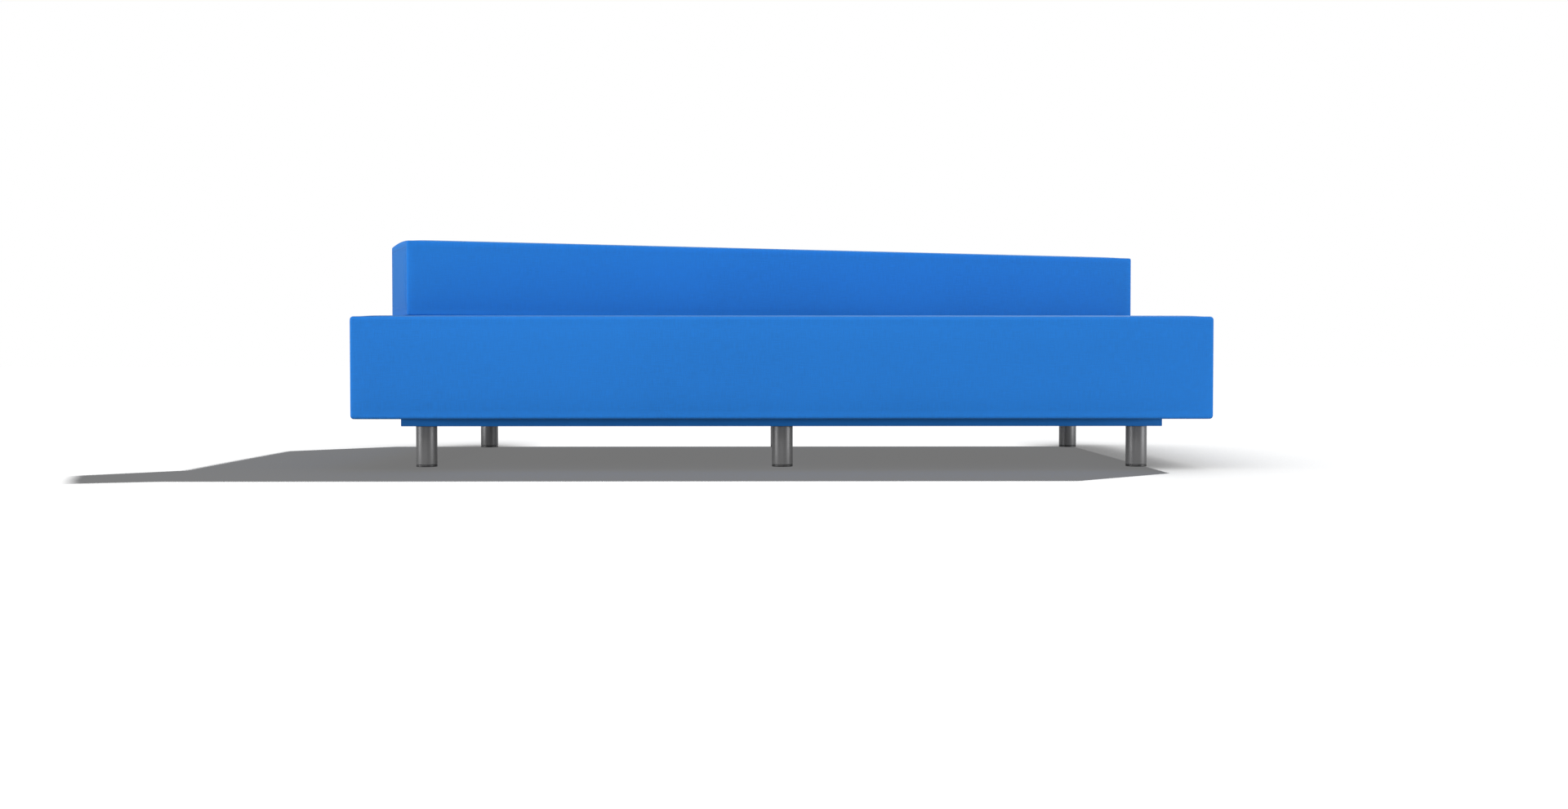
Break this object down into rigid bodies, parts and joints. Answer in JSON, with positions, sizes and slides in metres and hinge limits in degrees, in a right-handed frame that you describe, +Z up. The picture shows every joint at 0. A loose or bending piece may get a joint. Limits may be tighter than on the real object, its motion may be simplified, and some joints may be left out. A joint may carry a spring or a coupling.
{
  "type": "futon sofa bed",
  "caption": "Low block sofa bed: a flat upholstered seat on round steel legs, with a long padded backrest block that swivels to a diagonal and lifts off.",
  "frame": {"origin": "on the floor, under the middle of the seat, on the axis the backrest turns about", "axes": "+X along the seat's length to the right as seen in the picture, +Y from the front to the rear, +Z up"},
  "size_m": [2, 1.2, 0.5439],
  "materials": {
    "cover_fabric": "matte",
    "plinth_lacquer": "satin",
    "leg_steel": "satin",
    "glide_black": "matte",
    "zinc_fastener": "satin",
    "dust_cloth": "matte",
    "frame_wood": "matte",
    "slat_birch": "satin",
    "holder_plastic": "matte",
    "foam": "matte",
    "eyelet_metal": "satin",
    "swivel_steel": "satin",
    "bush_nylon": "matte",
    "board_ply": "matte",
    "felt": "matte"
  },
  "bodies": {
    "base": {"leg_front_left": "leg_steel", "leg_front_middle": "leg_steel", "leg_front_right": "leg_steel", "leg_rear_left": "leg_steel", "leg_rear_middle": "leg_steel", "leg_rear_right": "leg_steel", "leg_glides": "glide_black", "plinth_rail_front": "plinth_lacquer", "plinth_rail_rear": "plinth_lacquer", "plinth_rail_left": "plinth_lacquer", "plinth_rail_right": "plinth_lacquer", "plinth_rail_middle": "plinth_lacquer", "dust_cover": "dust_cloth", "seat_rail_front": "frame_wood", "seat_rail_rear": "frame_wood", "seat_rail_left": "frame_wood", "seat_rail_right": "frame_wood", "cross_beam_left": "frame_wood", "cross_beam_middle_left": "frame_wood", "cross_beam_middle_right": "frame_wood", "cross_beam_right": "frame_wood", "corner_blocks": "frame_wood", "slat_ledger_front": "frame_wood", "slat_holders_front": "holder_plastic", "slat_ledger_rear": "frame_wood", "slat_holders_rear": "holder_plastic", "slats_left": "slat_birch", "slats_right": "slat_birch", "side_padding": "foam", "futon_core": "foam", "seat_cover": "cover_fabric", "eyelet_ring": "eyelet_metal", "swivel_housing": "swivel_steel", "stop_dowel": "zinc_fastener", "swivel_bush": "bush_nylon"},
    "swivel": {"swivel_sleeve": "swivel_steel", "retaining_ring": "swivel_steel"},
    "backrest": {"pivot_post": "swivel_steel", "pivot_key": "zinc_fastener", "back_base_board": "board_ply", "back_rib_left_outer": "board_ply", "back_rib_left_inner": "board_ply", "back_rib_right_inner": "board_ply", "back_rib_right_outer": "board_ply", "back_top_board": "board_ply", "back_padding": "foam", "back_cover": "cover_fabric", "back_felt": "felt"}
  },
  "joints": [
    {"name": "back_swivel", "type": "hinge", "parent": "base", "child": "swivel", "pos_m": [0, 0, 0], "axis": [0, 0, 1], "range_deg": [-40, 0]},
    {"name": "back_lift", "type": "slide", "parent": "swivel", "child": "backrest", "axis": [0, 0, 1], "range_m": [0, 0.25]}
  ]
}
